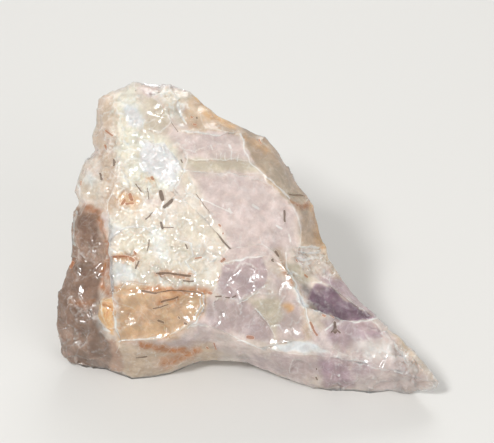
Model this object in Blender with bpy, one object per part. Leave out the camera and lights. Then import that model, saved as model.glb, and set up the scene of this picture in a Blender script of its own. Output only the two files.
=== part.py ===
"""Rough amethyst: one broken piece of pale quartz, made as one closed solid that rests on a flat foot.

The stone is drawn as it is seen from the front and above. Its outline and the ridges between its fracture
faces are chains of points. Each chain point has a place in the drawing, across and down in drawing steps,
and a height towards the viewer in millimetres. Sheets stretched over the chains make the front and the back,
and the drawing is then leaned back so that the foot lies on the ground.
"""
import math
import random

import bmesh
import bpy
from mathutils import Matrix, Vector, kdtree, noise
from mathutils.geometry import delaunay_2d_cdt

MM = 0.001

# Driving dimensions: the outline's real width as drawn, and how the stone is seen in the drawing
STONE_WIDTH = 40.5 * MM
SIGHT_ELEVATION = math.radians(40.0)
SIGHT_DISTANCE = 175.0 * MM

# The drawing: its size, the outline's width in it, and the height in it of the ground's front line
DRAWING_WIDTH = 494.0
DRAWING_HEIGHT = 443.0
SIGHT_CENTRE = (DRAWING_WIDTH / 2, DRAWING_HEIGHT / 2)
OUTLINE_WIDTH = 385.0
FOOT_LINE = 379.0
STEP = STONE_WIDTH / OUTLINE_WIDTH

# Edge of the stone: how far in it is rounded, and how deep
SHOULDER_REACH = 1.3 * MM
SHOULDER_DEPTH = 0.9 * MM

# Fracture faces: hollowed between their ridges, broken into large flat chips, slightly uneven
DISH_REACH = 2.6 * MM
DISH_DEPTH = 0.35 * MM
CHIP_SIZE = 5.0 * MM
CHIP_TILT = 0.09
CHIP_VARIETY = 3.7
CHIP_OFFSETS = [Vector((5.2, 0.0, 0.0)), Vector((0.0, 9.1, 0.0)), Vector((0.0, 0.0, 3.4))]
ROUGH_SIZE = 2.4 * MM
ROUGH_DEPTH = 0.02 * MM

# Foot: how much is cut off flat
FOOT_CUT = 0.3 * MM

# Mesh: spacing of the sheets' points in drawing steps, and the rounds of smoothing
FRONT_SPACING = 6.2
BACK_SPACING = 7.4
JITTER = 0.22
CLEARANCE = 0.62
RELAX_ROUNDS = 10
STRETCH_ROUNDS = 500
SWELL_ROUNDS = 8
LONGEST_EDGE = 1.35 * MM
SMOOTH_ANGLE = math.radians(12.0)
WELD = 0.02 * MM
SEED = 7

QUARTZ_COLOUR = (0.62, 0.52, 0.60, 1.0)
QUARTZ_ROUGHNESS = 0.3
QUARTZ_IOR = 1.54

# Outline of the stone, clockwise from the top: across, down, height in mm
RIM = [
    (133, 79, 1.0), (150, 80.5, 1.2), (174, 83, 1.0), (191, 90, 0.8), (202, 101, 0.8), (218, 114, 0.8),
    (240, 124, 0.8), (257, 132, 0.9), (266, 135, 1.0), (280, 151, 1.2), (292, 174, 1.4),
    (306, 192, 1.6), (315, 205, 1.7), (319, 224, 1.9), (323, 239, 2.0), (328, 247, 2.1),
    (330, 257, 2.2), (340, 275, 2.5), (348, 286, 2.7), (360, 298, 2.9), (375, 314, 3.2),
    (398, 333, 3.8), (416, 349, 4.2), (430, 367, 4.4), (440.5, 382, 4.0), (437, 390, 3.4),
    (422, 393.5, 2.4), (408, 395, 1.9), (392, 391.5, 1.8), (370, 394, 1.8), (352, 391.5, 1.8),
    (330, 391.5, 1.8), (308, 387, 1.5), (290, 381, 1.1), (268, 372.5, 0.7), (246, 364.5, 0.5),
    (222, 361.5, 0.4), (200, 363.5, 0.3), (185, 368, 0.2), (172, 374, 0.1), (155, 377.5, 0.0),
    (132, 379.5, 0.1), (118, 375.5, 0.0), (104, 369.5, -0.6), (86, 369, -1.0), (70, 365, -1.2),
    (60, 353, -0.8), (56, 335, 0.0), (55.5, 312, 0.9), (57, 290, 0.8), (62, 277, 0.6), (69, 263, 0.4),
    (71, 250, 0.4), (69.5, 230, 0.4), (73, 212, 0.3), (78, 203, 0.0), (73.5, 192, 0.2), (76, 180, 0.2),
    (79.5, 170, 0.2), (84, 159, 0.0), (93, 150, -0.5), (91, 136, 0.0), (94, 120, 0.2),
    (95.5, 106, 0.4), (100, 97, 0.5), (113, 88, 0.6), (122, 86, 0.8),
]

# Sharp ridges and step feet of the front faces
FRONT_RIDGES = {
    "block left edge": [
        (114, 186, 3.0), (106, 203, 3.0), (108, 216, 3.2), (108, 240, 3.6), (109, 270, 4.0),
        (112, 296, 4.2), (115, 322, 4.3), (120, 342, 4.2),
    ],
    "block left foot": [
        (98, 206, 1.4), (101, 218, 1.5), (102, 240, 1.7), (103, 268, 1.8), (105, 286, 2.0),
        (98, 298, 2.2), (94, 314, 2.3), (98, 332, 2.5), (107, 343, 2.8), (120, 349, 3.3),
    ],
    "lobe": [(102, 302, 3.3), (102, 316, 3.5), (107, 330, 3.6)],
    "block lower edge": [
        (120, 342, 4.2), (140, 340, 4.3), (165, 339, 4.4), (178, 331, 4.7), (190, 324, 4.9),
        (205, 326, 4.9), (222, 331, 4.8), (235, 337, 4.7), (245, 344, 4.6), (257, 349, 4.5),
        (268, 350, 4.5),
    ],
    "lower crest": [
        (268, 350, 4.5), (278, 344, 4.8), (297, 340, 5.0), (312, 345, 4.8), (331, 357, 4.4),
        (347, 362, 4.4), (365, 365, 4.4), (376, 371, 4.3), (388, 370, 4.4), (412, 378, 4.2),
        (430, 383, 3.9),
    ],
    "bright facet lower edge": [
        (268, 350, 4.5), (284, 353, 4.5), (297, 355, 4.5), (315, 355, 4.5), (331, 357, 4.4),
    ],
    "upper left ridge": [
        (113, 88, 0.6), (113, 102, 1.8), (119, 118, 2.6), (124, 132, 3.1), (121, 148, 3.1),
        (115, 165, 3.1), (114, 186, 3.0),
    ],
    "white corner": [
        (140, 137, 3.6), (152, 142, 3.9), (166, 145, 4.1), (176, 157, 4.5), (184, 170, 4.9),
        (180, 178, 4.8), (173, 189, 4.6),
    ],
    "upper ridge": [(184, 170, 4.9), (200, 172, 4.7), (225, 173, 4.4), (247, 173, 3.9), (262, 173, 3.4)],
    "grey facet edge": [(154, 94, 2.0), (160, 103, 2.6), (172, 121, 3.3), (178, 130, 3.5)],
    "upper ledge": [(178, 130, 3.5), (192, 128, 3.1), (212, 128, 2.8), (228, 131, 2.6), (240, 133, 1.7)],
    "right bevel": [
        (240, 124, 0.8), (240, 133, 1.7), (247, 145, 2.4), (250, 158, 2.9), (262, 173, 3.4),
        (272, 180, 3.6), (280, 188, 3.7), (288, 199, 3.8), (298, 216, 3.7), (303, 232, 3.6),
        (301, 246, 3.6),
    ],
    "warm face edge": [(173, 189, 4.6), (185, 200, 4.8), (197, 212, 5.0), (217, 233, 5.2), (228, 250, 5.4)],
    "step crest": [(214, 262, 5.1), (228, 250, 5.4), (240, 247, 5.5), (262, 244, 5.3), (275, 250, 4.9)],
    "patch edge": [
        (222, 265, 4.8), (235, 262, 4.9), (263, 257, 4.9), (268, 270, 4.9), (268, 281, 5.0),
        (256, 295, 5.2), (240, 302, 5.2),
    ],
    "patch left edge": [
        (222, 265, 4.8), (219, 278, 5.0), (216, 291, 5.1), (207, 298, 5.2), (203, 312, 5.2),
        (190, 324, 4.9),
    ],
    "lower facets": [(256, 295, 5.2), (257, 309, 4.9), (270, 327, 4.8), (278, 344, 4.8)],
    "spine": [
        (275, 250, 4.9), (283, 263, 5.0), (290, 276, 5.2), (298, 290, 5.4), (303, 305, 5.4),
        (308, 325, 5.2), (312, 345, 4.8),
    ],
    "scar upper rim": [(301, 246, 3.6), (291, 252, 4.2), (287, 262, 4.6), (290, 276, 5.2)],
    "scar middle ridge": [
        (290, 276, 5.2), (303, 276, 4.0), (318, 281, 3.7), (332, 286, 3.7), (345, 297, 3.8),
        (360, 307, 3.6), (375, 314, 3.2),
    ],
    "scar lower rim": [
        (303, 305, 5.4), (313, 309, 5.0), (326, 313, 4.9), (342, 320, 4.8), (356, 321.5, 4.4),
        (375, 314, 3.2),
    ],
}

# Soft swells and hollows of the front faces
FRONT_SWELLS = {
    "ledge pocket": [(86, 216, 1.3), (86, 232, 0.9), (86, 244, 1.1)],
    "ledge lumps": [(82, 258, 1.9), (76, 285, 2.2), (80, 310, 2.5), (74, 335, 1.9)],
    "ledge foot": [(82, 352, 1.8), (100, 356, 2.4), (122, 362, 2.6)],
    "band under block": [
        (150, 358, 2.6), (180, 352, 2.8), (205, 345, 3.2), (232, 350, 3.2), (258, 360, 2.9),
    ],
    "upper left knobs": [(90, 160, 1.5), (98, 172, 2.3), (86, 186, 1.8), (99, 193, 2.3)],
    "left lobe": [(102, 106, 1.2), (103, 124, 1.6), (104, 140, 1.7)],
    "top face": [(134, 96, 2.3), (138, 112, 3.0), (150, 122, 3.2)],
    "upper right slope": [(185, 101, 2.0), (205, 115, 2.1)],
    "white face": [(150, 165, 4.3), (165, 165, 4.6), (168, 178, 4.6)],
    "block face": [(130, 230, 4.1), (135, 265, 4.5), (160, 300, 4.9), (150, 325, 4.8)],
    "warm hollow": [(190, 255, 4.9), (195, 275, 4.9)],
    "middle face": [(205, 190, 4.7), (228, 205, 4.8), (250, 220, 4.7), (272, 222, 4.3)],
    "scar hollow": [(312, 292, 3.8), (328, 301, 3.4), (345, 309, 3.5), (358, 314, 3.6)],
    "scar slope": [(318, 262, 2.9), (330, 276, 3.0)],
    "tip crest": [(335, 335, 5.1), (352, 340, 5.1), (372, 347, 5.0), (398, 360, 4.9), (420, 374, 4.4)],
    "skirt": [(290, 366, 3.0), (320, 374, 3.3), (355, 381, 3.4), (390, 383, 3.3), (416, 387, 3.1)],
}

# Flat foot on the ground and ridges up the back: across, back and up from the sight line's foot, in mm
FOOT = [
    (-9.0, 0.9), (-12.0, 0.9), (-16.0, 2.2), (-17.2, 6.0), (-16.2, 10.5), (-13.5, 14.5), (-8.5, 16.6),
    (-2.0, 16.2), (3.5, 14.2), (8.0, 10.8), (12.0, 6.4), (15.2, 2.0), (16.6, -0.8), (14.0, -1.2),
    (9.5, -1.2), (6.5, -0.4), (4.0, 2.2), (0.5, 3.6), (-4.0, 3.4), (-7.0, 1.8),
]
BACK_RIDGES = {
    "left": [(-16.2, 10.5, -0.3), (-17.8, 10.8, 6.0), (-17.4, 13.0, 11.0)],
    "rear left": [(-13.5, 14.5, -0.3), (-14.4, 17.6, 8.5), (-14.2, 19.0, 14.0), (-13.0, 19.6, 19.0)],
    "rear crest": [(-2.0, 16.2, -0.3), (-1.6, 18.6, 7.0), (-7.6, 20.8, 11.5), (-8.2, 20.9, 19.0)],
    "rear cross": [(-14.4, 17.6, 8.5), (-7.6, 20.8, 11.5)],
    "rear scar": [(-1.6, 18.6, 7.0), (3.2, 16.0, 13.0)],
    "rear right": [(8.0, 10.8, -0.3), (7.8, 13.2, 5.5), (3.2, 16.0, 13.0), (-0.6, 17.6, 17.6)],
    "tip": [(12.0, 6.4, -0.3), (11.8, 6.4, 3.5), (11.0, 5.8, 6.6)],
    "tip end": [(15.2, 2.0, -0.3), (15.4, 1.0, 2.4)],
}


def to_sheet(across, down, height):
    """Point of the drawing as seen from the sight distance, in metres: right, up and towards the viewer."""
    depth = height * MM
    closer = (SIGHT_DISTANCE - depth) / SIGHT_DISTANCE
    right = (across - SIGHT_CENTRE[0]) * STEP * closer
    rise = (FOOT_LINE - SIGHT_CENTRE[1]) * STEP + (SIGHT_CENTRE[1] - down) * STEP * closer
    return Vector((right, rise, depth))


def lean():
    """Turns the drawing's frame into the ground's frame."""
    return Matrix.Rotation(math.pi / 2 - SIGHT_ELEVATION, 4, "X")


def to_drawing(across, back, up):
    """Drawing steps and height of a point given on the ground's axes in mm."""
    point = lean().inverted() @ (Vector((across, back, up)) * MM)
    closer = (SIGHT_DISTANCE - point.z) / SIGHT_DISTANCE
    right = SIGHT_CENTRE[0] + point.x / (STEP * closer)
    rise = point.y - (FOOT_LINE - SIGHT_CENTRE[1]) * STEP
    return (right, SIGHT_CENTRE[1] - rise / (STEP * closer), point.z / MM)


def spaced(chain, spacing, closed=False):
    """Points along a chain at even steps, with the chain's own points kept."""
    points = []
    for start, end in zip(chain, chain[1:] + chain[:1] * closed):
        start, end = Vector(start), Vector(end)
        count = max(1, round((end - start).xy.length / spacing))
        points += [start.lerp(end, i / count) for i in range(count)]
    return points if closed else points + [Vector(chain[-1])]


def tree_of(points):
    """Search tree over the drawn places of points."""
    tree = kdtree.KDTree(len(points))
    for i, point in enumerate(points):
        tree.insert((point.x, point.y, 0.0), i)
    tree.balance()
    return tree


def grid(spacing, taken, rng):
    """Jittered points between the chains, none too near to a chain."""
    near = tree_of(taken)
    points = []
    row_height = spacing * math.sqrt(3) / 2
    for row in range(int(DRAWING_HEIGHT / row_height)):
        for column in range(int(DRAWING_WIDTH / spacing)):
            across = (column + 0.5 * (row % 2) + rng.uniform(-JITTER, JITTER)) * spacing
            down = row * row_height + rng.uniform(-JITTER, JITTER) * spacing
            if near.find((across, down, 0.0))[2] > CLEARANCE * spacing:
                points.append(Vector((across, down, 0.0)))
    return points


def lay_out(rim, ridges, swells, spacing, side):
    """All points of one sheet, its fixed edges, and where the swells' and the free points start."""
    points = list(rim)
    edges = [(i, (i + 1) % len(rim)) for i in range(len(rim))]
    starts = []
    for chains in (ridges, swells):
        for chain in chains:
            first = len(points)
            points += spaced(chain, spacing)
            edges += [(i, i + 1) for i in range(first, len(points) - 1)]
        starts.append(len(points))
    return points + grid(spacing, points, random.Random(SEED + side)), edges, starts


def weave(bm, rim_verts, points, edges, side):
    """Triangles between the points inside the rim. Gives each new vertex with the number of its point."""
    flat = [Vector((p.x, -p.y)) for p in points]
    outline = list(range(len(rim_verts)))
    places, _, faces, sources, _, _ = delaunay_2d_cdt(flat, edges, [outline], 1, 0.001)
    verts = {}
    origin = {}
    for i in sorted({i for face in faces for i in face}):
        source = min(sources[i], default=len(points))
        if source < len(rim_verts):
            verts[i] = rim_verts[source]
            continue
        height = points[source].z if source < len(points) else 0.0
        verts[i] = bm.verts.new((places[i].x, -places[i].y, height))
        origin[verts[i]] = source
    for face in faces:
        bm.faces.new([verts[i] for i in (reversed(face) if side > 0 else face)])
    return origin


def stretch_sheet(bm, rim_verts, ridges, swells, spacing, side):
    """Sheet stretched over its chains from the rim. side is 1 for the front and -1 for the back."""
    rim = [v.co.copy() for v in rim_verts]
    points, edges, (swell_start, free_start) = lay_out(rim, ridges, swells, spacing, side)
    origin = weave(bm, rim_verts, points, edges, side)
    free = [v for v, source in origin.items() if source >= free_start]
    soft = [v for v, source in origin.items() if source >= swell_start]
    for _ in range(RELAX_ROUNDS):
        bmesh.ops.smooth_vert(bm, verts=free, factor=0.5, use_axis_x=True, use_axis_y=True)
    for _ in range(STRETCH_ROUNDS):
        bmesh.ops.smooth_vert(bm, verts=free, factor=1.0, use_axis_z=True)
    for _ in range(SWELL_ROUNDS):
        bmesh.ops.smooth_vert(bm, verts=soft, factor=0.5, use_axis_z=True)
    return list(origin)


def share(tree, v, reach):
    """How far a drawn point lies from the nearest point of a tree, as a share of the reach, at most 1."""
    return min(1.0, tree.find((v.co.x, v.co.y, 0.0))[2] * STEP / reach)


def shape_faces(verts, rim_tree, ridge_tree, side):
    """Hollows each face between its ridges and rounds the stone's edge at the rim."""
    for v in verts:
        away = 1.0 - share(ridge_tree, v, DISH_REACH)
        inside = 1.0 - share(rim_tree, v, SHOULDER_REACH)
        shoulder = SHOULDER_DEPTH * math.sqrt(1.0 - inside * inside)
        v.co.z += side * (shoulder - DISH_DEPTH * (1.0 - away * away)) / MM


def even_out(bm):
    """Splits the long edges that a steep wall of a sheet has, and turns edges so that no face is a sliver."""
    for _ in range(3):
        long_edges = [e for e in bm.edges if e.calc_length() > LONGEST_EDGE]
        bmesh.ops.subdivide_edges(bm, edges=long_edges, cuts=1)
        bmesh.ops.triangulate(bm, faces=bm.faces)
        smooth_edges = [e for e in bm.edges if e.calc_face_angle(math.pi) < SMOOTH_ANGLE]
        bmesh.ops.beautify_fill(bm, faces=bm.faces, edges=smooth_edges, method="ANGLE")


def chip(place):
    """Height of small flat chips, each tilted its own way."""
    scaled = place / CHIP_SIZE
    middle = noise.voronoi(scaled)[1][0]
    tilt = Vector([noise.noise(middle * CHIP_VARIETY + offset) for offset in CHIP_OFFSETS])
    return CHIP_TILT * CHIP_SIZE * (scaled - middle).dot(tilt)


def roughen(bm):
    """Adds chips and a fine unevenness, fading out at the drawn outline."""
    rim = [lean() @ to_sheet(*p) for p in spaced(RIM, 1.0, closed=True)]
    near = kdtree.KDTree(len(rim))
    for i, place in enumerate(rim):
        near.insert(place, i)
    near.balance()
    bm.normal_update()
    moves = []
    for v in bm.verts:
        fade = min(1.0, near.find(v.co)[2] / SHOULDER_REACH)
        height = chip(v.co) + ROUGH_DEPTH * noise.fractal(v.co / ROUGH_SIZE, 1.0, 2.0, 3)
        moves.append(v.normal * height * fade)
    for v, move in zip(bm.verts, moves):
        v.co += move


def cut_foot(bm):
    """Cuts the underside flat at the ground."""
    cut = bmesh.ops.bisect_plane(
        bm, geom=bm.verts[:] + bm.edges[:] + bm.faces[:], dist=WELD, plane_co=(0, 0, 0), plane_no=(0, 0, 1),
        clear_inner=True,
    )
    border = [e for e in cut["geom_cut"] if isinstance(e, bmesh.types.BMEdge)]
    for v in {v for e in border for v in e.verts}:
        v.co.z = 0.0
    bmesh.ops.edgeloop_fill(bm, edges=border)


def centre(bm):
    """Moves the middle of the stone's box over the origin, with the foot at zero."""
    low = Vector([min(v.co[i] for v in bm.verts) for i in range(3)])
    high = Vector([max(v.co[i] for v in bm.verts) for i in range(3)])
    middle = (low + high) / 2
    shift = Vector((-middle.x, -middle.y, -low.z))
    bmesh.ops.translate(bm, verts=bm.verts, vec=shift)


def join_sheets(bm):
    """Front and back sheets over one rim, still in the drawing."""
    rim_verts = [bm.verts.new(p) for p in spaced(RIM, FRONT_SPACING, closed=True)]
    foot = [(across, back, -FOOT_CUT / MM) for across, back in FOOT]
    back_ridges = [[to_drawing(*p) for p in chain] for chain in [foot + foot[:1], *BACK_RIDGES.values()]]
    sheets = [
        (1, FRONT_RIDGES.values(), FRONT_SWELLS.values(), FRONT_SPACING),
        (-1, back_ridges, [], BACK_SPACING),
    ]
    rim = spaced(RIM, 1.0, closed=True)
    for side, ridges, swells, spacing in sheets:
        verts = stretch_sheet(bm, rim_verts, ridges, swells, spacing, side)
        ridge_points = [p for chain in ridges for p in spaced(chain, 1.0)]
        shape_faces(verts, tree_of(rim), tree_of(rim + ridge_points), side)


def stone_mesh():
    """The whole stone: two sheets, lean, relief and flat foot."""
    bm = bmesh.new()
    join_sheets(bm)
    turn = lean()
    for v in bm.verts:
        v.co = turn @ to_sheet(*v.co)
    even_out(bm)
    roughen(bm)
    cut_foot(bm)
    bmesh.ops.remove_doubles(bm, verts=bm.verts, dist=WELD)
    bmesh.ops.triangulate(bm, faces=bm.faces)
    bmesh.ops.recalc_face_normals(bm, faces=bm.faces)
    centre(bm)
    mesh = bpy.data.meshes.new("amethyst")
    bm.to_mesh(mesh)
    bm.free()
    return mesh


def quartz_material():
    """Pale violet, slightly glossy quartz."""
    material = bpy.data.materials.new("amethyst quartz")
    material.use_nodes = True
    shader = material.node_tree.nodes["Principled BSDF"]
    shader.inputs["Base Color"].default_value = QUARTZ_COLOUR
    shader.inputs["Roughness"].default_value = QUARTZ_ROUGHNESS
    shader.inputs["Metallic"].default_value = 0.0
    shader.inputs["IOR"].default_value = QUARTZ_IOR
    return material


def clear_scene():
    """Removes what the scene holds at the start."""
    for item in list(bpy.data.objects):
        bpy.data.objects.remove(item, do_unlink=True)


def main():
    clear_scene()
    mesh = stone_mesh()
    mesh.materials.append(quartz_material())
    stone = bpy.data.objects.new("amethyst", mesh)
    bpy.context.scene.collection.objects.link(stone)


main()
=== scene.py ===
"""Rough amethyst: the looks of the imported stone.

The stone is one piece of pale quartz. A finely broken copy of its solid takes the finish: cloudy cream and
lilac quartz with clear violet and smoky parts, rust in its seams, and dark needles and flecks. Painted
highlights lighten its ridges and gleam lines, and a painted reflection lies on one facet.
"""
import math

import bmesh
import bpy
import numpy as np
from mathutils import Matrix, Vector, noise


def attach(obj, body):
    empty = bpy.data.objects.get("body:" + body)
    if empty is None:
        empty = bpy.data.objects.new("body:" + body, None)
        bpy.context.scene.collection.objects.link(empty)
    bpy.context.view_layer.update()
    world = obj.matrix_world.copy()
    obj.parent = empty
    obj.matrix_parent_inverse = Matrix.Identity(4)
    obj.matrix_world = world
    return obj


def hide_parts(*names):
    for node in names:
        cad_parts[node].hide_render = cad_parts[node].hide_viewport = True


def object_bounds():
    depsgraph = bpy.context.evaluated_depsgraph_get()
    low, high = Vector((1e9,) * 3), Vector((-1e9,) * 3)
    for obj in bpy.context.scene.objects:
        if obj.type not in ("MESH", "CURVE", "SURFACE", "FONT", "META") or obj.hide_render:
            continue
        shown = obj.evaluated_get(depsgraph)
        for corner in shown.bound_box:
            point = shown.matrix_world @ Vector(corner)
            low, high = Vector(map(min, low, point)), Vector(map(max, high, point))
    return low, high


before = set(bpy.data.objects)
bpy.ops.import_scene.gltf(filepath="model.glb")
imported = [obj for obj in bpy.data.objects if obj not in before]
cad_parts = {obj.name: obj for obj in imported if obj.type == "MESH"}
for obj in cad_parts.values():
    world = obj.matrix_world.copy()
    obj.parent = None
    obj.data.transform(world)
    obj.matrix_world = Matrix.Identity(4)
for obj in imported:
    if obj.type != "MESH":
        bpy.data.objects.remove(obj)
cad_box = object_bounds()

MM = 0.001

# How the photograph looks at the stone
SIGHT_ELEVATION = math.radians(40.0)
SIGHT_DISTANCE = 175.0 * MM
SIGHT_FOCUS = Vector((0.10, 1.64, 12.69)) * MM
PHOTO_WIDTH = 494.0
PHOTO_HEIGHT = 443.0
STEP = 40.5 * MM / 385.0  # metres in a pixel at the focus
SENSOR_WIDTH = 36.0

# Fine mesh: welding, the angle from which an edge is a ridge, the height up to which the foot stays flat,
# the rounds of smoothing, and how near in pixels to a drawn line the mesh is finest
WELD = 0.005 * MM
RIDGE_ANGLE = math.radians(17.0)
FOOT_HEIGHT = 0.01 * MM
SETTLE_ROUNDS = 3
FINE_REACH = 2.5
CREASE_ANGLE = math.radians(32.0)

# Relief: sizes and depths. Two depths are shares of the size, everywhere and where the zone is strongest
VARIETY = 3.7
TILT_OFFSETS = [Vector((5.2, 0.0, 0.0)), Vector((0.0, 9.1, 0.0)), Vector((0.0, 0.0, 3.4))]
SHELL_SIZE = 3.4 * MM
SHELL_DEPTH = 0.18 * MM
CHIP_SIZE = 1.9 * MM
CHIP_DEPTHS = (0.05, 0.22)
GRAIN_SIZE = 0.62 * MM
GRAIN_DEPTHS = (0.05, 0.35)
SWELL_SIZE = 1.8 * MM
SWELL_DEPTH = 0.06 * MM
BOWL_DOME = 1.6
FACET_SLOPE = 1.6
FACET_DOME = 0.3
FACET_LEVEL = 0.1

# On faces turned away from the photograph's view
HIDDEN_FROST = 0.3
HIDDEN_CHIPS = 0.7
FACING_GAIN = 4.0
FOLD_GAIN = 2.5

# Wandering of borders and lines: size in metres and reach in pixels of the photograph
WANDERS = [(3.1 * MM, 4.0), (0.9 * MM, 3.0)]
MARK_WANDER = (0.9 * MM, 0.8)
LEDGE_WANDER = (1.1 * MM, 2.5)
END_FADE = 6.0  # pixels over which a ledge's ends fade out

# Pattern in the quartz
UNEVEN_SIZE = 1.5 * MM
UNEVEN_REACH = 1.2 * MM
CLOUD_SIZE = 2.6 * MM
MOTTLE_SIZE = 0.7 * MM
CRACK_SIZE = 1.1 * MM
VEIL_SIZE = 1.6 * MM
VEIL_REACH = 1.0 * MM
RAGGED_SIZE = 0.35 * MM
FINE_SIZE = 0.5 * MM
BUMP_DEPTH = 0.05 * MM

# Facets of the shading: size, tilt everywhere, and tilt added where frost lies
FACET_TILTS = ((0.9 * MM, 0.08, 0.4), (0.4 * MM, 0.06, 0.5))

# Optics of quartz
QUARTZ_IOR = 1.54
SCATTER_SIZE = 0.8 * MM
SCATTER_SPREAD = (1.0, 0.9, 0.85)
ABSORPTION = 12.0

# Studio: lights with place, size and power, and the light all around
LIGHTS = [
    ("key light", (-0.15, -0.17, 0.30), 0.07, 0.9),
    ("fill light", (0.26, -0.26, 0.20), 0.30, 0.5),
    ("rear light", (0.05, 0.34, 0.26), 0.20, 0.6),
]
AROUND_TINT = (1.0, 0.99, 0.97, 1.0)
AROUND_STRENGTH = 0.55
FLOOR_RADIUS = 1.2


def outline(softness, strength, *points):
    """Zone inside a closed outline of photograph places."""
    return ("outline", softness, strength, points)


def stroke(width, strength, *points):
    """Zone along a line of photograph places."""
    return ("stroke", width, strength, points)


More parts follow.
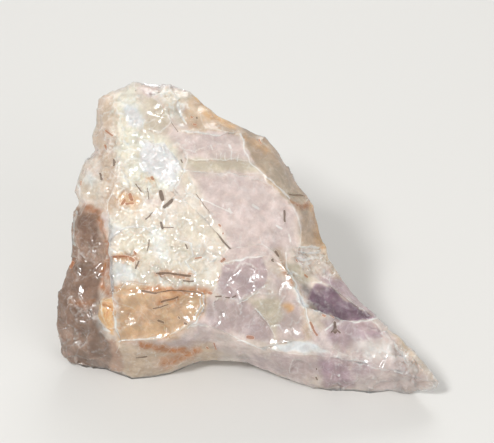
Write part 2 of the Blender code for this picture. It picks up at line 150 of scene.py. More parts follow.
# Where each finish lies, in pixels of the photograph
ZONES = {
    "blush": [
        outline(16, 0.9, (188, 174), (258, 176), (290, 204), (300, 244), (262, 246), (232, 248),
                (206, 206)),
        outline(6, 0.8, (168, 132), (240, 136), (246, 154), (240, 159), (190, 158), (176, 146)),
        outline(9, 0.7, (140, 82), (178, 84), (170, 100), (156, 100), (142, 92)),
        outline(4, 0.9, (218, 262), (228, 250), (262, 244), (262, 256), (236, 261)),
        outline(12, 0.6, (206, 318), (240, 338), (262, 352), (330, 360), (300, 380), (240, 362),
                (205, 345)),
        outline(14, 0.8, (350, 330), (392, 332), (412, 366), (440, 390), (356, 396), (352, 360)),
    ],
    "sage": [
        outline(5, 0.8, (140, 94), (156, 100), (170, 120), (160, 130), (142, 128), (147, 112)),
        outline(6, 0.7, (178, 88), (190, 90), (192, 98), (180, 106)),
        outline(5, 0.9, (185, 158), (230, 160), (254, 164), (258, 172), (208, 171), (188, 168)),
        outline(4, 0.8, (121, 238), (128, 231), (142, 229), (148, 238), (149, 258), (138, 262),
                (124, 262), (117, 248)),
        outline(9, 0.5, (140, 262), (150, 240), (176, 236), (200, 262), (205, 280), (190, 268), (160, 266)),
        outline(9, 0.6, (176, 210), (204, 216), (214, 236), (190, 240), (176, 226)),
        outline(6, 0.9, (252, 302), (280, 300), (284, 322), (272, 338), (258, 322)),
        outline(5, 0.9, (289, 262), (300, 260), (312, 278), (306, 290), (296, 280)),
        outline(8, 0.6, (258, 160), (275, 158), (300, 190), (312, 212), (300, 214), (286, 194)),
        outline(10, 0.6, (210, 304), (240, 306), (240, 322), (212, 318)),
        outline(8, 0.5, (78, 176), (98, 178), (98, 200), (82, 202)),
    ],
    "tan": [
        outline(5, 0.9, (182, 118), (188, 98), (194, 88), (225, 100), (246, 124), (240, 134), (214, 132),
                (190, 128)),
        outline(3, 0.9, (241, 128), (300, 118), (340, 200), (334, 252), (305, 247), (300, 217), (288, 200),
                (262, 174), (250, 158)),
        outline(8, 0.6, (85, 92), (112, 90), (120, 108), (116, 150), (85, 150)),
        outline(6, 0.7, (99, 150), (114, 152), (117, 190), (114, 214), (101, 210)),
        outline(8, 0.8, (120, 178), (142, 176), (142, 208), (112, 214), (112, 190)),
        outline(6, 0.9, (318, 246), (336, 254), (350, 280), (336, 278), (322, 262)),
        stroke(9, 0.7, (280, 250), (290, 276), (303, 305), (308, 336)),
        stroke(9, 0.8, (398, 330), (432, 366), (442, 384)),
        outline(10, 0.8, (112, 345), (210, 343), (222, 362), (186, 380), (112, 384)),
    ],
    "smoky": [
        outline(5, 1.0, (56, 206), (100, 209), (102, 240), (103, 285), (96, 300), (92, 316), (98, 334),
                (116, 342), (124, 368), (112, 390), (40, 390), (40, 300)),
    ],
    "pocket": [
        outline(5, 1.0, (77, 214), (98, 214), (98, 246), (79, 247)),
        outline(12, 0.55, (72, 262), (102, 262), (100, 298), (74, 300)),
        outline(9, 0.6, (68, 300), (80, 302), (84, 336), (70, 336)),
    ],
    "amber": [
        outline(10, 0.7, (112, 286), (150, 286), (206, 292), (205, 306), (196, 322), (180, 332),
                (120, 341)),
        outline(14, 0.75, (128, 322), (170, 322), (176, 338), (118, 342), (116, 328)),
        outline(12, 0.6, (172, 300), (206, 296), (202, 316), (184, 328), (170, 318)),
        outline(4, 1.0, (98, 303), (104, 299), (111, 298), (112, 334), (104, 330), (97, 316)),
        stroke(6, 0.8, (198, 96), (210, 112), (232, 126)),
        stroke(5, 0.6, (248, 136), (262, 142), (270, 150)),
        stroke(6, 0.8, (314, 204), (319, 230), (322, 246)),
        stroke(6, 1.0, (286, 308), (288, 311)),
        stroke(9, 0.5, (120, 258), (134, 262)),
        stroke(9, 0.6, (120, 196), (132, 204)),
        stroke(7, 0.6, (148, 178), (154, 180)),
    ],
    "ochre": [
        stroke(5, 1.0, (98, 214), (102, 222), (103, 240), (103, 268), (105, 284), (107, 296)),
        stroke(6, 1.0, (140, 346), (160, 350), (178, 351), (196, 352)),
        stroke(9, 0.9, (164, 364), (176, 361), (188, 355)),
        stroke(4, 0.8, (84, 209), (100, 211)),
        stroke(5, 0.9, (293, 200), (300, 206), (308, 205)),
        stroke(5, 0.6, (284, 266), (292, 284)),
        stroke(6, 0.8, (157, 273), (176, 274), (190, 277)),
        stroke(6, 0.8, (146, 292), (172, 290), (206, 293)),
        stroke(5, 0.7, (161, 303), (180, 296)),
        stroke(4, 0.7, (70, 258), (70, 270)),
        stroke(5, 0.6, (112, 256), (134, 257)),
        stroke(5, 0.7, (74, 302), (94, 299)),
    ],
    "violet": [
        outline(3, 1.0, (308, 298), (316, 284), (330, 288), (345, 299), (375, 317), (356, 321), (342, 320),
                (326, 313)),
        outline(7, 0.6, (318, 276), (345, 280), (382, 316), (372, 314), (345, 297)),
        outline(10, 0.6, (322, 320), (372, 320), (385, 332), (352, 342), (344, 352), (326, 338)),
        outline(10, 0.7, (318, 358), (350, 362), (356, 388), (322, 392)),
        outline(9, 0.4, (352, 362), (372, 366), (372, 376), (352, 376)),
    ],
    "mauve": [
        outline(2.5, 1.0, (222, 265), (235, 262), (263, 257), (268, 270), (267, 281), (255, 292),
                (240, 300),
                (218, 291), (219, 278)),
        outline(7, 0.8, (208, 300), (240, 302), (254, 304), (272, 330), (266, 346), (240, 336), (205, 322)),
        outline(8, 0.6, (262, 262), (286, 285), (300, 310), (303, 336), (275, 342), (284, 310)),
        outline(9, 0.6, (250, 354), (320, 358), (330, 372), (300, 384), (250, 368)),
        outline(10, 0.5, (152, 344), (210, 334), (216, 344), (180, 350)),
    ],
    "cream": [
        outline(14, 0.9, (112, 92), (136, 78), (140, 92), (147, 112), (142, 128), (165, 134), (180, 150),
                (184, 170), (172, 192), (140, 198), (118, 186), (112, 150)),
        outline(12, 0.6, (110, 212), (150, 204), (176, 200), (200, 236), (228, 252), (222, 264), (214, 290),
                (112, 284)),
        outline(7, 0.7, (152, 88), (180, 88), (184, 120), (172, 118)),
        outline(8, 0.6, (184, 174), (196, 190), (232, 246), (222, 256), (196, 234), (174, 200)),
    ],
    "milk_and_reflection": [
        outline(7, 1.0, (140, 140), (164, 143), (182, 168), (174, 186), (160, 176), (140, 172)),
        outline(6, 0.9, (122, 104), (134, 102), (143, 116), (140, 128), (128, 124)),
        # Painted reflection: a shiny facet along the lower edge, drawn milk white where it mirrors the light
        outline(3, 1.0, (268, 350), (280, 345), (297, 340), (313, 346), (331, 357), (300, 353)),
        outline(6, 0.8, (109, 226), (122, 222), (122, 230), (112, 240)),
        outline(8, 0.7, (114, 264), (134, 262), (136, 282), (116, 286)),
        outline(7, 0.6, (150, 226), (162, 228), (170, 256), (158, 262), (150, 244)),
        outline(3, 1.0, (290, 290), (297, 291), (308, 306), (302, 310), (294, 302)),
        outline(9, 0.5, (356, 338), (392, 342), (398, 356), (366, 360)),
        outline(4, 0.8, (84, 178), (90, 170), (96, 180), (90, 188)),
    ],
    "frost": [
        outline(10, 0.8, (110, 98), (128, 96), (140, 128), (165, 143), (184, 170), (172, 190), (150, 200),
                (118, 200), (106, 160)),
        outline(5, 0.8, (154, 86), (180, 90), (186, 116), (172, 118)),
        outline(4, 1.0, (296, 246), (326, 248), (338, 272), (330, 282), (308, 272), (296, 262)),
        outline(6, 0.7, (392, 340), (412, 346), (428, 374), (412, 372), (396, 358)),
        outline(4, 0.8, (76, 154), (104, 150), (112, 200), (80, 200)),
        outline(3, 1.0, (72, 249), (96, 248), (97, 262), (74, 262)),
        outline(4, 1.0, (70, 300), (96, 298), (98, 322), (76, 322)),
        outline(12, 0.6, (112, 200), (175, 204), (222, 250), (214, 286), (112, 286)),
        outline(4, 0.9, (290, 288), (308, 292), (310, 312), (296, 310)),
        outline(5, 0.5, (110, 296), (118, 298), (124, 338), (114, 334)),
        outline(5, 0.6, (330, 350), (376, 352), (376, 366), (340, 366)),
    ],
    "chipped": [
        outline(8, 1.0, (56, 240), (104, 250), (98, 334), (118, 344), (124, 390), (40, 390), (40, 260)),
        outline(8, 0.7, (214, 262), (262, 256), (300, 262), (340, 285), (300, 345), (210, 335)),
        outline(8, 0.8, (330, 320), (400, 325), (445, 385), (440, 396), (330, 396)),
        outline(8, 0.8, (90, 80), (190, 80), (184, 170), (228, 250), (212, 292), (112, 292), (100, 150)),
    ],
    "clear": [
        outline(6, 0.9, (56, 206), (100, 209), (103, 285), (92, 316), (112, 346), (112, 390), (40, 390),
                (40, 300)),
        outline(4, 0.6, (240, 118), (300, 118), (340, 200), (330, 250), (305, 246), (288, 199), (249, 156)),
        outline(6, 0.8, (303, 286), (332, 288), (374, 316), (342, 320), (308, 307)),
        outline(10, 0.5, (395, 345), (445, 370), (445, 395), (395, 395)),
        outline(10, 0.4, (113, 300), (205, 296), (196, 322), (120, 340)),
    ],
}

# Steps of the fracture: drop in millimetres on the right-hand side of a line, its reach in pixels, the line
LEDGES = [
    (0.22, 12, (178, 98), (182, 110), (188, 124)),
    (0.18, 10, (183, 130), (205, 134), (222, 136), (241, 128)),
    (0.14, 9, (176, 147), (196, 151), (206, 146)), (0.12, 8, (188, 158), (215, 159), (250, 160)),
    (0.20, 14, (255, 176), (210, 171), (184, 170)), (0.20, 12, (184, 170), (176, 188), (172, 200)),
    (0.14, 9, (250, 178), (262, 181), (275, 190)), (0.12, 10, (197, 212), (217, 233), (231, 249)),
    (0.30, 16, (109, 244), (113, 236), (120, 230), (131, 227), (143, 227), (150, 233)),
    (0.18, 10, (197, 275), (185, 262), (193, 255), (190, 243), (180, 240)),
    (0.25, 12, (195, 324), (205, 306), (203, 292)), (0.15, 10, (150, 285), (126, 283), (112, 292)),
    (0.22, 10, (256, 307), (271, 328)), (0.25, 6, (298, 247), (321, 247)),
    (0.25, 5, (298, 252), (324, 252)),
    (0.25, 5, (296, 258), (320, 258)), (0.2, 8, (328, 286), (345, 298), (374, 317)),
    (0.2, 10, (375, 318), (355, 322), (342, 320), (325, 313), (308, 306)),
    (0.25, 8, (262, 349), (278, 344), (296, 340)), (0.2, 10, (330, 357), (352, 361), (372, 365)),
    (0.2, 8, (395, 341), (401, 350), (411, 366)), (0.2, 6, (388, 370), (400, 374), (413, 378)),
    (0.25, 7, (109, 214), (108, 240), (110, 270), (113, 298)), (0.2, 9, (98, 304), (97, 316), (104, 330)),
    (0.12, 9, (238, 305), (249, 299), (259, 292)), (0.18, 10, (146, 128), (160, 131), (172, 120)),
]

# Pale bright lines where the light catches an edge: half width in pixels, then the places
GLEAMS = [
    (0.8, (241, 133), (246, 150), (250, 160), (262, 172), (276, 185), (290, 198)),
    (0.7, (184, 170), (198, 172), (206, 172)), (0.8, (165, 144), (176, 156), (185, 170), (176, 187)),
    (0.8, (109, 242), (112, 236), (120, 230), (130, 227), (143, 227), (151, 233)),
    (0.7, (180, 240), (190, 243), (193, 255), (186, 262), (197, 276)),
    (0.8, (107, 212), (107, 240), (108, 270), (112, 298), (114, 320), (118, 339)),
    (0.8, (118, 341), (150, 338), (166, 337)), (0.8, (98, 304), (96, 312), (100, 325), (109, 333)),
    (0.7, (203, 292), (205, 305), (196, 322), (188, 327)), (0.7, (200, 296), (201, 306), (194, 318)),
    (0.7, (192, 326), (215, 329), (232, 335)), (0.9, (238, 340), (254, 347), (268, 351)),
    (0.7, (238, 304), (250, 298), (258, 293)), (0.7, (256, 308), (270, 327)),
    (1.1, (300, 247), (319, 247)), (0.8, (302, 252), (322, 252)), (0.8, (300, 258), (316, 258)),
    (0.8, (308, 306), (325, 313), (342, 320), (355, 322), (375, 318)),
    (0.8, (325, 329), (333, 324)), (0.8, (352, 361), (366, 362)), (0.7, (395, 342), (400, 350), (410, 365)),
    (0.8, (286, 252), (289, 268), (298, 288), (306, 306), (311, 330)),
    (0.6, (183, 130), (205, 134), (222, 136)),
    (0.8, (178, 100), (182, 110), (188, 122)), (0.6, (184, 192), (205, 200), (232, 212)),
    (1.6, (254, 205), (259, 208)), (1.0, (228, 208), (231, 212)), (0.9, (277, 225), (283, 229)),
    (0.9, (289, 236), (291, 241)), (0.8, (212, 145), (213, 149)), (0.9, (229, 145), (231, 149)),
    (0.5, (216, 152), (217, 158)), (0.5, (221, 151), (222, 158)), (0.5, (226, 152), (227, 159)),
    (0.5, (232, 152), (233, 160)), (0.5, (238, 154), (239, 161)), (0.9, (76, 212), (72, 228), (72, 246)),
    (0.8, (90, 150), (80, 164), (76, 182), (80, 196)), (0.8, (222, 264), (240, 260), (262, 256)),
]

# Dark needles and flecks: half width in pixels, then their places in the photograph
NEEDLES = [
    (1.2, (142, 291), (156, 293)), (0.7, (156, 293), (172, 290), (206, 293)),
    (1.2, (157, 273), (176, 274), (190, 276)), (0.9, (183, 281), (193, 281)),
    (1.1, (161, 302), (178, 297)), (0.8, (153, 309), (168, 305)), (0.9, (136, 359), (147, 357)),
    (0.9, (171, 121), (178, 131)), (0.8, (134, 184), (140, 191)), (1.9, (164, 207), (171, 201)),
    (2.2, (160, 192), (162, 199)), (0.8, (145, 219), (152, 213)), (1.4, (160, 222), (162, 228)),
    (0.6, (163, 227), (173, 228)), (0.6, (197, 212), (217, 233)), (0.9, (217, 233), (231, 249)),
    (0.5, (196, 193), (210, 212)), (1.1, (284, 211), (285.5, 222)), (1.3, (158, 321), (163, 323)),
    (1.2, (184, 323), (186, 324)), (0.9, (178, 317), (179, 318)), (1.2, (99, 173), (100, 179)),
    (1.3, (111, 159), (112, 165)), (0.6, (148, 198), (147, 188)), (0.9, (185, 245), (187, 249)),
    (0.8, (216, 297), (222, 296)), (0.8, (226, 297), (229, 297)), (0.8, (232, 297), (235, 296)),
    (1.9, (335, 323), (335, 332)), (0.9, (331, 332), (335, 328), (340, 333)), (1.4, (276, 251), (279, 256)),
    (1.0, (272, 259), (273, 261)), (1.2, (290, 194), (303, 195)), (0.9, (182, 158), (183, 160)),
    (0.8, (197, 117), (197, 118)), (0.9, (316, 378), (317, 380)), (0.8, (413, 381), (414, 382)),
    (1.0, (138, 261), (135, 268)), (0.8, (149, 240), (147, 251)), (0.7, (316, 369), (316, 370)),
]
RUST_MARKS = [
    (2.2, (150, 177), (151, 179)), (1.6, (122, 203), (124, 200)), (1.8, (129, 194), (131, 199)),
    (1.2, (126, 203), (132, 203)), (1.8, (130, 258), (133, 260)), (1.2, (134, 252), (135, 254)),
    (1.1, (112, 256), (128, 256)), (1.2, (219, 225), (220, 226)), (0.8, (223, 233), (223, 234)),
    (1.4, (209, 292), (211, 294)), (1.8, (248, 337), (253, 338)), (1.1, (281, 260), (281, 261)),
    (1.4, (311, 323), (313, 328)), (1.1, (314, 330), (317, 335)), (1.2, (323, 315), (325, 316)),
    (0.9, (330, 316), (334, 318)), (1.0, (222, 262), (225, 260)), (0.9, (220, 275), (218, 282)),
    (1.0, (195, 258), (201, 257)), (0.9, (192, 116), (193, 117)), (0.9, (194, 123), (196, 124)),
    (1.0, (106, 131), (112, 135)), (0.9, (103, 145), (104, 149)), (0.9, (260, 138), (262, 142)),
    (1.0, (80, 181), (80, 184)), (1.0, (207, 349), (208, 350)), (0.8, (214, 345), (216, 350)),
    (1.0, (306, 274), (308, 276)), (0.9, (298, 259), (299, 260)), (1.3, (71, 262), (70, 267)),
]


def paint(red, green, blue):
    """Linear colour of a display colour from 0 to 255."""
    return tuple(((c / 255.0 + 0.055) / 1.055) ** 2.4 for c in (red, green, blue)) + (1.0,)


PALE = paint(236, 222, 208)
BLUSH = paint(232, 216, 212)
SAGE = paint(216, 206, 184)
CREAM = paint(250, 242, 224)
# Milk white: the colour of milky quartz and its hairline cracks, and also of the painted highlights and the
# painted reflection
MILK_AND_HIGHLIGHT = paint(255, 252, 247)
TAN = paint(222, 198, 170)
SMOKY = paint(206, 172, 150)
POCKET = paint(172, 136, 114)
AMBER = paint(246, 202, 146)
OCHRE = paint(206, 136, 76)
VIOLET = paint(178, 146, 164)
MAUVE = paint(210, 190, 190)
SHADE = paint(196, 186, 172)
RUST = paint(150, 92, 52)
DARK = paint(92, 70, 50)
DEPTH_TINT = paint(236, 220, 214)
FLOOR = paint(206, 205, 202)


def sight_axes():
    """The photograph's right, up and backward directions, as rows."""
    rise, run = math.sin(SIGHT_ELEVATION), math.cos(SIGHT_ELEVATION)
    return np.array([(1.0, 0.0, 0.0), (0.0, rise, run), (0.0, -run, rise)])


def drawn(points):
    """Photograph places, across and down in pixels, of points in metres."""
    seen = (points - np.array(SIGHT_FOCUS)) @ sight_axes().T
    scale = SIGHT_DISTANCE / (SIGHT_DISTANCE - seen[:, 2]) / STEP
    return np.stack([PHOTO_WIDTH / 2 + seen[:, 0] * scale, PHOTO_HEIGHT / 2 - seen[:, 1] * scale], 1)


def ease(share):
    """Smooth step from 0 to 1."""
    share = np.clip(share, 0.0, 1.0)
    return share * share * (3.0 - 2.0 * share)


def line_distance(places, points):
    """Distance in pixels from each place to a line of points."""
    nearest = np.full(len(places), np.inf)
    for start, end in zip(points, points[1:]):
        start, along = np.array(start, float), np.subtract(end, start).astype(float)
        share = np.clip((places - start) @ along / max(along @ along, 1e-9), 0.0, 1.0)
        nearest = np.minimum(nearest, np.linalg.norm(places - start - share[:, None] * along, axis=1))
    return nearest


def inside(places, points):
    """True for the places inside a closed outline."""
    found = np.zeros(len(places), bool)
    x, y = places[:, 0], places[:, 1]
    for (x0, y0), (x1, y1) in zip(points, points[1:] + points[:1]):
        crosses = (y0 > y) != (y1 > y)
        rise = (y1 - y0) if y1 != y0 else 1.0
        found ^= crosses & (x < (x1 - x0) * (y - y0) / rise + x0)
    return found


def step_share(places, reach, points):
    """Share of a step's drop: full on a line's right-hand side, fading away from it and towards its ends."""
    nearest = np.full(len(places), np.inf)
    total = np.zeros(len(places))
    walked, length = 0.0, sum(math.dist(a, b) for a, b in zip(points, points[1:]))
    for start, end in zip(points, points[1:]):
        start, along = np.array(start, float), np.subtract(end, start).astype(float)
        offset = places - start
        share = np.clip(offset @ along / (along @ along), 0.0, 1.0)
        gap = np.linalg.norm(offset - share[:, None] * along, axis=1)
        right = along[0] * offset[:, 1] - along[1] * offset[:, 0] > 0.0
        reached = walked + share * math.hypot(*along)
        drop = right * ease(1.0 - gap / reach) * ease(np.minimum(reached, length - reached) / END_FADE)
        total = np.where(gap < nearest, drop, total)
        nearest = np.minimum(nearest, gap)
        walked += math.hypot(*along)
    return total


def zone_share(places, shapes):
    """How much of a zone each place has, from 0 to 1."""
    total = np.zeros(len(places))
    for kind, reach, strength, points in shapes:
        if kind == "stroke":
            share = ease(1.0 - line_distance(places, points) / reach)
        else:
            distance = line_distance(places, points + points[:1])
            share = ease(0.5 + np.where(inside(places, points), distance, -distance) / reach)
        total = np.maximum(total, strength * share)
    return total


def mark_share(places, marks):
    """1 on the middle line of a mark, a half at its edge and 0 at twice its half width."""
    total = np.zeros(len(places))
    for half_width, *points in marks:
        total = np.maximum(total, np.clip(1.0 - 0.5 * line_distance(places, points) / half_width, 0.0, 1.0))
    return total


def wander(points, size, reach):
    """Irregular shifts in pixels, alike for near points."""
    shifts = []
    for point in points:
        place = Vector(point) / size
        shifts.append((noise.noise(place + TILT_OFFSETS[0]), noise.noise(place + TILT_OFFSETS[1])))
    return np.array(shifts) * reach


def coordinates(bm):
    return np.array([v.co for v in bm.verts])


def normals(bm):
    bm.normal_update()
    return np.array([v.normal for v in bm.verts])


def merged_copy(node):
    """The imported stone's triangles as one closed mesh, with its ridges marked sharp."""
    bm = bmesh.new()
    bm.from_mesh(node.data)
    bmesh.ops.remove_doubles(bm, verts=bm.verts, dist=WELD)
    bm.normal_update()
    for face in bm.faces:
        face.smooth = True
    for edge in bm.edges:
        edge.smooth = edge.calc_face_angle(0.0) < RIDGE_ANGLE
    return bm


def settle(bm, rounds):
    """Evens out the faces between the ridges. Points of a ridge only slide along it, and the foot stays."""
    loose = [v for v in bm.verts if v.co.z > FOOT_HEIGHT]
    free = [v for v in loose if all(e.smooth for e in v.link_edges)]
    chained = []
    for v in loose:
        sharp = [e for e in v.link_edges if not e.smooth]
        if len(sharp) == 2:
            chained.append((v, sharp[0].other_vert(v), sharp[1].other_vert(v)))
    for _ in range(rounds):
        bmesh.ops.smooth_vert(bm, verts=free, factor=0.5, use_axis_x=True, use_axis_y=True, use_axis_z=True)
        moved = [v.co.lerp((a.co + b.co) / 2, 0.5) for v, a, b in chained]
        for (v, _, _), place in zip(chained, moved):
            v.co = place


def split(bm, edges):
    """Splits edges at their middle and fills with triangles again."""
    bmesh.ops.subdivide_edges(bm, edges=edges, cuts=1, use_grid_fill=True)
    bmesh.ops.triangulate(bm, faces=[f for f in bm.faces if len(f.verts) > 3])


def refine(bm):
    """Splits every edge off the foot twice, and those near a mark, gleam or ledge once more."""
    for rounds in (SETTLE_ROUNDS, 1):
        split(bm, [e for e in bm.edges if max(v.co.z for v in e.verts) > FOOT_HEIGHT])
        settle(bm, rounds)
    places = drawn(coordinates(bm))
    lines = [points for _, *points in NEEDLES + RUST_MARKS + GLEAMS] + [points for _, _, *points in LEDGES]
    nearest = np.min([line_distance(places, points) for points in lines], axis=0)
    close = (nearest < FINE_REACH) & (normals(bm) @ sight_axes()[2] > 0.0)
    bm.verts.index_update()
    split(bm, [e for e in bm.edges if all(close[v.index] for v in e.verts)])


def bowls(place, size):
    """Shallow bowls with sharp rims between them, from -1 in a bowl's middle up to about 0."""
    distance = noise.voronoi(place / size)[0][0]
    return BOWL_DOME * distance * distance - 1.0


def facets(place, size):
    """Small tilted facets that meet in sharp ridges."""
    scaled = place / size
    heights = []
    for middle in noise.voronoi(scaled)[1]:
        tilt = Vector([noise.noise(middle * VARIETY + offset) for offset in TILT_OFFSETS])
        away = scaled - middle
        heights.append(FACET_SLOPE * away.dot(tilt) + FACET_DOME * away.length_squared)
    return min(heights) - FACET_LEVEL


def relief(place, chipped, frost):
    """Height of the fine fracture relief at a place."""
    height = SHELL_DEPTH * bowls(place, SHELL_SIZE)
    height += SWELL_DEPTH * noise.fractal(place / SWELL_SIZE, 1.0, 2.0, 3)
    height += CHIP_SIZE * (CHIP_DEPTHS[0] + CHIP_DEPTHS[1] * chipped) * facets(place, CHIP_SIZE)
    return height + GRAIN_SIZE * (GRAIN_DEPTHS[0] + GRAIN_DEPTHS[1] * frost) * facets(place, GRAIN_SIZE)


def carve(bm, zones, drop):
    """Cuts the relief and the ledges into the stone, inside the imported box, and leaves the foot flat."""
    bm.normal_update()
    low, high = cad_box
    chipped, frost = zones["chipped"], zones["frost"]
    moves = [v.normal * (relief(v.co, chipped[i], frost[i]) - drop[i]) for i, v in enumerate(bm.verts)]
    for v, move in zip(bm.verts, moves):
        if v.co.z > FOOT_HEIGHT:
            v.co = Vector([min(max(c, a), b) for c, a, b in zip(v.co + move, low, high)])


def bends(bm):
    """How much the surface folds at each point: above 0 on a ridge, below 0 in a crevice."""
    bm.normal_update()
    fold = {e: e.calc_face_angle_signed(0.0) for e in bm.edges}
    return np.array([sum(fold[e] for e in v.link_edges) / len(v.link_edges) for v in bm.verts])


def store(mesh, name, values):
    mesh.attributes.new(name, "FLOAT", "POINT").data.foreach_set("value", values.astype(np.float32))


def build_stone(node):
    """The finely broken stone with its zones stored on its points."""
    bm = merged_copy(node)
    settle(bm, SETTLE_ROUNDS)
    refine(bm)
    bm.verts.index_update()
    points = coordinates(bm)
    drawn_places = drawn(points)
    places = drawn_places + sum(wander(points, size, reach) for size, reach in WANDERS)
    mark_places = drawn_places + wander(points, *MARK_WANDER)
    ledge_places = drawn_places + wander(points, *LEDGE_WANDER)
    facing = ease(normals(bm) @ sight_axes()[2] * FACING_GAIN)
    zones = {name: zone_share(places, shapes) for name, shapes in ZONES.items()}
    zones["frost"] = np.maximum(zones["frost"] * facing, HIDDEN_FROST * (1.0 - facing))
    zones["chipped"] = np.maximum(zones["chipped"] * facing, HIDDEN_CHIPS * (1.0 - facing))
    for name, marks in (("needle", NEEDLES), ("rust", RUST_MARKS)):
        zones[name] = mark_share(mark_places, marks) * facing
    # Painted highlights along the lines where the light catches an edge
    zones["gleam"] = mark_share(ledge_places, GLEAMS) * facing
    drops = [depth * MM * step_share(ledge_places, reach, line) for depth, reach, *line in LEDGES]
    carve(bm, zones, sum(drops) * facing)
    fold = bends(bm)
    # The ridge share serves as a painted highlight: it lightens convex edges in the colour
    zones["ridge"] = np.clip(fold * FOLD_GAIN, 0.0, 1.0)
    zones["crevice"] = np.clip(-fold * FOLD_GAIN, 0.0, 1.0)
    mesh = bpy.data.meshes.new("rough_amethyst")
    bm.to_mesh(mesh)
    bm.free()
    for name, values in zones.items():
        store(mesh, name, values)
    mesh.shade_smooth()
    mesh.set_sharp_from_angle(angle=CREASE_ANGLE)
    return mesh


class Socket:
    """An output of a shader node. Sums and products with it add Math nodes."""

    def __init__(self, finish, output):
        self.finish = finish
        self.output = output

    def maths(self, operation, first, second, clamp=False):
        return self.finish.add("Math", {"operation": operation, "use_clamp": clamp}, {0: first, 1: second})

    def __add__(self, other):
        return self.maths("ADD", self, other)

    __radd__ = __add__

    def __sub__(self, other):
        return self.maths("SUBTRACT", self, other)

    def __rsub__(self, other):
        return self.maths("SUBTRACT", other, self)

    def __mul__(self, other):
        return self.maths("MULTIPLY", self, other)

    __rmul__ = __mul__

    def highest(self, other):
        return self.maths("MAXIMUM", self, other)

    def clamped(self):
        return self.maths("ADD", self, 0.0, clamp=True)

    def between(self, low, high):
        """0 below low, 1 above high and smooth between them."""
        return self.finish.add("MapRange", {"interpolation_type": "SMOOTHSTEP"},
                               {"Value": self, "From Min": low, "From Max": high})


class Finish:
    """A material and the one method that adds nodes to it."""

    def __init__(self, name):
        self.material = bpy.data.materials.new(name)
        self.material.use_nodes = True
        self.tree = self.material.node_tree
        self.tree.nodes.clear()

    def add(self, kind, settings=None, inputs=None, output=0):
        node = self.tree.nodes.new("ShaderNode" + kind)
        for name, value in (settings or {}).items():
            setattr(node, name, value)
        for name, value in (inputs or {}).items():
            if isinstance(value, Socket):
                self.tree.links.new(value.output, node.inputs[name])
            else:
                node.inputs[name].default_value = value
        return Socket(self, node.outputs[output]) if node.outputs else None

    def blend(self, share, first, second):
        """Colour between two others."""
        return self.add("Mix", {"data_type": "RGBA"}, {0: share, 6: first, 7: second}, output=2)

    def zone(self, name):
        return self.add("Attribute", {"attribute_name": name}, output="Fac")

    def noise(self, place, size, detail=3.0, roughness=0.55):
        return self.add("TexNoise", {}, {"Vector": place, "Scale": 1.0 / size, "Detail": detail,
                                         "Roughness": roughness})

    def cells(self, place, size, feature="F1", output="Distance"):
        return self.add("TexVoronoi", {"feature": feature}, {"Vector": place, "Scale": 1.0 / size},
                        output=output)

    def vector(self, operation, first, second=(0.0, 0.0, 0.0), scale=1.0):
        inputs = {0: first, "Scale": scale} if operation == "SCALE" else {0: first, 1: second}
        return self.add("VectorMath", {"operation": operation}, inputs)


def warped(f, place, size, reach):
    """Place shifted irregularly, so that what is drawn on it has uneven borders."""
    shift = f.add("TexNoise", {}, {"Vector": place, "Scale": 1.0 / size, "Detail": 3.0}, output="Color")
    shift = f.vector("SUBTRACT", shift, (0.5, 0.5, 0.5))
    return f.vector("ADD", place, f.vector("SCALE", shift, scale=reach))


def quartz_colour(f, place, marks):
    """Colour of the quartz: zones, veils, hairline cracks, stains, painted highlights and a painted
    reflection.
    """
    uneven = warped(f, place, UNEVEN_SIZE, UNEVEN_REACH)
    clouds = f.noise(uneven, CLOUD_SIZE, detail=4.0)
    mottle = f.noise(uneven, MOTTLE_SIZE, detail=6.0, roughness=0.65)
    frost = f.zone("frost")
    colour = f.blend(clouds.between(0.4, 0.65), PALE, BLUSH)
    for name, tint in (("blush", BLUSH), ("tan", TAN), ("sage", SAGE), ("cream", CREAM), ("smoky", SMOKY),
                       ("pocket", POCKET), ("mauve", MAUVE), ("violet", VIOLET), ("amber", AMBER)):
        colour = f.blend((f.zone(name) * (0.7 + 0.5 * mottle)).clamped(), colour, tint)
    colour = f.blend(mottle.between(0.52, 0.75) * (0.35 + 0.4 * frost), colour, MILK_AND_HIGHLIGHT)
    colour = f.blend((1.0 - mottle.between(0.28, 0.46)) * (0.2 + 0.25 * frost), colour, SHADE)
    # Milky quartz, and a painted reflection of the light on one shiny facet, blended towards milk white
    colour = f.blend((f.zone("milk_and_reflection") * (0.6 + 0.8 * mottle)).clamped(), colour, MILK_AND_HIGHLIGHT)
    colour = f.blend((f.zone("ochre") * (1.8 * mottle - 0.1)).clamped(), colour, OCHRE)
    cracks = 1.0 - f.cells(uneven, CRACK_SIZE, feature="DISTANCE_TO_EDGE").between(0.0, 0.05)
    colour = f.blend(cracks * clouds.between(0.45, 0.6) * (0.25 + 0.6 * frost), colour, MILK_AND_HIGHLIGHT)
    # Painted highlights: the gleam lines and the convex ridges are lightened towards milk white
    gleam = f.zone("gleam").between(0.35, 0.7) * (0.4 + 0.9 * mottle)
    painted_highlight = (f.zone("ridge") * 0.6).highest(gleam).clamped()
    colour = f.blend(painted_highlight, colour, MILK_AND_HIGHLIGHT)
    colour = f.blend(f.zone("crevice") * f.zone("amber") * 0.8, colour, OCHRE)
    return f.blend(marks["needle"] * 0.85, f.blend(marks["rust"] * 0.8, colour, RUST), DARK)


def facet_normal(f, place, frost):
    """Surface direction tilted facet by facet, slightly on the smooth faces and strongly where frost lies."""
    normal = f.add("NewGeometry", output="Normal")
    for size, smooth_tilt, frost_tilt in FACET_TILTS:
        random = f.cells(warped(f, place, size, 0.8 * size), size, output="Color")
        tilt = f.vector("SUBTRACT", random, (0.5, 0.5, 0.5))
        normal = f.vector("ADD", normal, f.vector("SCALE", tilt, scale=smooth_tilt + frost_tilt * frost))
    return f.vector("NORMALIZE", normal)


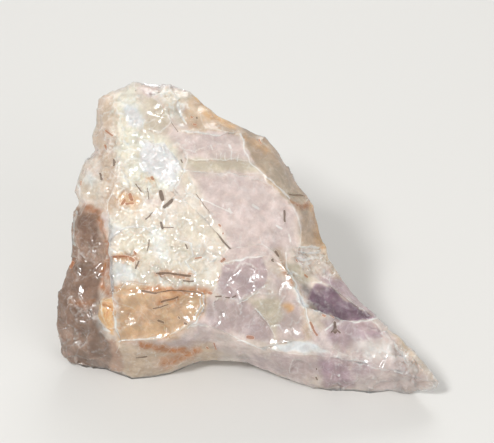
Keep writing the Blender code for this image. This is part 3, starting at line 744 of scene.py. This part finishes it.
def quartz():
    """Cloudy and clear quartz side by side, with rust and needles that hide it."""
    f = Finish("rough amethyst")
    place = f.add("TexCoord", output="Object")
    ragged = 0.25 * (f.noise(place, RAGGED_SIZE, detail=4.0) - 0.5)
    marks = {name: (f.zone(name) + ragged).between(0.3, 0.65) for name in ("needle", "rust")}
    hidden = marks["needle"].highest(marks["rust"])
    colour = quartz_colour(f, place, marks)
    frost = f.zone("frost")
    fine = f.noise(place, FINE_SIZE, detail=6.0, roughness=0.6)
    rough = 0.08 + 0.15 * frost * fine + 0.14 * fine + 0.4 * hidden
    bump = f.add("Bump", {}, {"Strength": 0.3, "Distance": BUMP_DEPTH, "Height": fine,
                              "Normal": facet_normal(f, place, frost)})
    cloudy = f.add("BsdfPrincipled", {}, {
        "Base Color": colour, "Roughness": rough, "IOR": QUARTZ_IOR, "Normal": bump,
        "Subsurface Weight": 1.0, "Subsurface Radius": SCATTER_SPREAD, "Subsurface Scale": SCATTER_SIZE,
    })
    clear = f.add("BsdfPrincipled", {}, {
        "Base Color": f.blend(0.5, colour, (1.0, 1.0, 1.0, 1.0)), "Roughness": rough, "IOR": QUARTZ_IOR,
        "Normal": bump, "Transmission Weight": 1.0,
    })
    veils = f.noise(warped(f, place, UNEVEN_SIZE, VEIL_REACH), VEIL_SIZE, detail=6.0, roughness=0.62)
    clearness = 0.38 + 0.3 * f.zone("clear") - 0.25 * (veils.between(0.35, 0.75) - 0.4)
    surface = f.add("MixShader", {}, {0: (clearness * (1.0 - hidden)).clamped(), 1: cloudy, 2: clear})
    depth = f.add("VolumeAbsorption", {}, {"Color": DEPTH_TINT, "Density": ABSORPTION})
    f.add("OutputMaterial", {}, {"Surface": surface, "Volume": depth})
    return f.material


def plain(name, colour, roughness):
    f = Finish(name)
    shader = f.add("BsdfPrincipled", {}, {"Base Color": colour, "Roughness": roughness})
    f.add("OutputMaterial", {}, {"Surface": shader})
    return f.material


def lay_floor():
    """Plain pale floor."""
    bm = bmesh.new()
    bmesh.ops.create_circle(bm, cap_ends=True, segments=64, radius=FLOOR_RADIUS)
    mesh = bpy.data.meshes.new("floor")
    bm.to_mesh(mesh)
    bm.free()
    mesh.materials.append(plain("pale floor", FLOOR, 0.7))
    floor = bpy.data.objects.new("floor", mesh)
    bpy.context.scene.collection.objects.link(floor)


def hang_light(name, place, size, power):
    """Soft square light that faces the stone."""
    data = bpy.data.lights.new(name, "AREA")
    data.size = size
    data.energy = power
    light = bpy.data.objects.new(name, data)
    light.location = place
    light.rotation_euler = (SIGHT_FOCUS - Vector(place)).to_track_quat("-Z", "Y").to_euler()
    bpy.context.scene.collection.objects.link(light)


def light_studio():
    for name, place, size, power in LIGHTS:
        hang_light(name, place, size, power)
    world = bpy.data.worlds.new("studio")
    world.use_nodes = True
    world.node_tree.nodes["Background"].inputs["Color"].default_value = AROUND_TINT
    world.node_tree.nodes["Background"].inputs["Strength"].default_value = AROUND_STRENGTH
    bpy.context.scene.world = world
    bpy.context.scene.view_settings.view_transform = "Standard"


def set_camera():
    """Camera at the photograph's viewing angle and distance."""
    data = bpy.data.cameras.new("camera")
    data.sensor_width = SENSOR_WIDTH
    data.lens = SENSOR_WIDTH * SIGHT_DISTANCE / (PHOTO_WIDTH * STEP)
    camera = bpy.data.objects.new("camera", data)
    back = Vector(sight_axes()[2])
    camera.location = SIGHT_FOCUS + back * SIGHT_DISTANCE
    camera.rotation_euler = back.to_track_quat("Z", "Y").to_euler()
    data.clip_start = 1.0 * MM
    bpy.context.scene.collection.objects.link(camera)
    bpy.context.scene.camera = camera


def main():
    set_camera()
    mesh = build_stone(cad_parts["amethyst"])
    mesh.materials.append(quartz())
    stone = bpy.data.objects.new("rough_amethyst", mesh)
    bpy.context.scene.collection.objects.link(stone)
    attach(stone, "root")
    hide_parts("amethyst")
    lay_floor()
    light_studio()


main()
